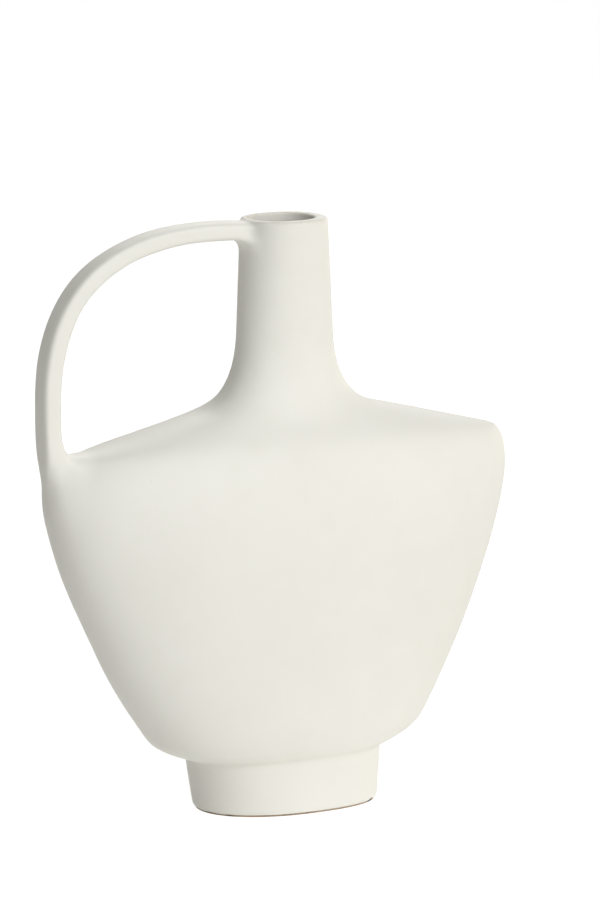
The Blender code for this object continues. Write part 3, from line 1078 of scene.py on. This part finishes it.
glazedNodes = ("neck", "body_front", "body_back", "foot_wall", "handle")
for piece, material, slot, nodes in (
        (glazedVessel, matteWhiteGlaze, "matt_white_glaze", glazedNodes),
        (bareBase, bareClay, "bare_clay", ("base_slab",)),
        (bareFootRing, bareClay, "bare_clay", ("foot_ring",))):
    piece.data.materials.clear()
    piece.data.materials.append(material)
    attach(piece, "root")
    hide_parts(*nodes)


# Camera, from the photograph's own perspective
cameraView = {
    "azimuth": -27.009,
    "elevation": 11.614,
    "distance": 3.0434,
    "target": (vessel["axisX"] * mm, 0.0, 0.175),
    # the picture's scale at the target, and where the target stands in it
    "pixelsPerMm": 1.698,
    "centre": (283.12, 511.66),
    "frame": (600, 900),
    "sensor": 36.0,
    "clip": (0.05, 50.0),
}


def directionOf(azimuth, elevation):
    # The way out from the vase, in degrees round from the front and upwards.
    azimuth, elevation = math.radians(azimuth), math.radians(elevation)
    level = math.cos(elevation)
    return Vector((math.sin(azimuth) * level, -math.cos(azimuth) * level, math.sin(elevation)))


def makeCamera():
    back = directionOf(cameraView["azimuth"], cameraView["elevation"])
    data = bpy.data.cameras.new("photoCamera")
    camera = bpy.data.objects.new("photoCamera", data)
    bpy.context.scene.collection.objects.link(camera)
    camera.location = Vector(cameraView["target"]) + back * cameraView["distance"]
    camera.rotation_mode = "QUATERNION"
    camera.rotation_quaternion = (-back).to_track_quat("-Z", "Y")
    width, height = cameraView["frame"]
    focal = cameraView["pixelsPerMm"] * cameraView["distance"] / mm
    data.sensor_width = cameraView["sensor"]
    data.lens = focal * cameraView["sensor"] / height
    data.shift_x = (width / 2 - cameraView["centre"][0]) / height
    data.shift_y = (cameraView["centre"][1] - height / 2) / height
    data.clip_start, data.clip_end = cameraView["clip"]
    bpy.context.scene.camera = camera


makeCamera()


# A white table and room, and broad soft lamps
studio = {
    "tableHalf": 3.0,
    # the table as the light on the vase meets it, with a glow that stands for the whole room's return
    "tableColour": (0.80, 0.79, 0.76, 1),
    "tableGlow": 0.23,
    # what the camera sees: a white glow and a grey that takes the shadow
    "tableWhite": 0.93,
    "tableShadow": (0.25, 0.25, 0.25, 1),
    "lampDistance": 1.5,
    # name: (to the right of the camera, upwards, spread, strength, colour), the first three in degrees
    "lamps": {
        "keyLamp": (32, 26, 60, 0.562, (0.995, 1.0, 1.0)),
        "sideLamp": (75, 8, 35, 0.20, (1.0, 0.95, 0.865)),
        "topLamp": (0, 75, 35, 0.185, (0.98, 1.0, 0.97)),
        "leftLamp": (-70, 45, 35, 0.030, (1.0, 0.92, 0.74)),
        "backLamp": (180, 35, 35, 0.275, (1.0, 0.985, 0.94)),
        "rimLamp": (135, 8, 35, 0.142, (1.0, 0.92, 0.76)),
    },
}


def seenRays(tree):
    # What the camera sees is also what shows in reflections.
    rays = addNode(tree, "ShaderNodeLightPath")
    either = calc(tree, "MAXIMUM", rays.outputs["Is Camera Ray"], rays.outputs["Is Glossy Ray"])
    return calc(tree, "MAXIMUM", either, rays.outputs["Is Transmission Ray"])


def makeTable():
    half = studio["tableHalf"]
    data = bpy.data.meshes.new("floor")
    corners = [(-half, -half, 0), (half, -half, 0), (half, half, 0), (-half, half, 0)]
    data.from_pydata(corners, [], [(0, 1, 2, 3)])
    table = bpy.data.objects.new("floor", data)
    bpy.context.scene.collection.objects.link(table)
    material = bpy.data.materials.new("whiteTable")
    material.use_nodes = True
    tree = material.node_tree
    tree.nodes.clear()
    seen = addNode(tree, "ShaderNodeEmission", {"Strength": studio["tableWhite"]})
    faint = addNode(tree, "ShaderNodeBsdfDiffuse", {"Color": studio["tableShadow"]})
    forCamera = addNode(tree, "ShaderNodeAddShader", {0: seen.outputs[0], 1: faint.outputs[0]})
    matt = addNode(tree, "ShaderNodeBsdfDiffuse", {"Color": studio["tableColour"]})
    glow = addNode(tree, "ShaderNodeEmission", {"Strength": studio["tableGlow"]})
    forLight = addNode(tree, "ShaderNodeAddShader", {0: matt.outputs[0], 1: glow.outputs[0]})
    either = {0: seenRays(tree), 1: forLight.outputs[0], 2: forCamera.outputs[0]}
    choose = addNode(tree, "ShaderNodeMixShader", either)
    addNode(tree, "ShaderNodeOutputMaterial", {"Surface": choose.outputs[0]})
    data.materials.append(material)


def makeRoom():
    room = bpy.data.worlds.new("whiteRoom")
    room.use_nodes = True
    tree = room.node_tree
    background = tree.nodes["Background"]
    background.inputs["Color"].default_value = (1, 1, 1, 1)
    tree.links.new(seenRays(tree), background.inputs["Strength"])
    bpy.context.scene.world = room


def makeLamps():
    for name, (right, upwards, spread, strength, colour) in studio["lamps"].items():
        data = bpy.data.lights.new(name, "SUN")
        data.energy = strength * math.pi
        data.angle = math.radians(spread)
        data.color = colour
        lamp = bpy.data.objects.new(name, data)
        bpy.context.scene.collection.objects.link(lamp)
        away = directionOf(cameraView["azimuth"] + right, upwards)
        lamp.location = away * studio["lampDistance"]
        lamp.rotation_mode = "QUATERNION"
        lamp.rotation_quaternion = away.to_track_quat("Z", "Y")


makeTable()
makeRoom()
makeLamps()
print("camera, table, room and lamps set up")

bpy.context.scene.view_settings.view_transform = "Standard"
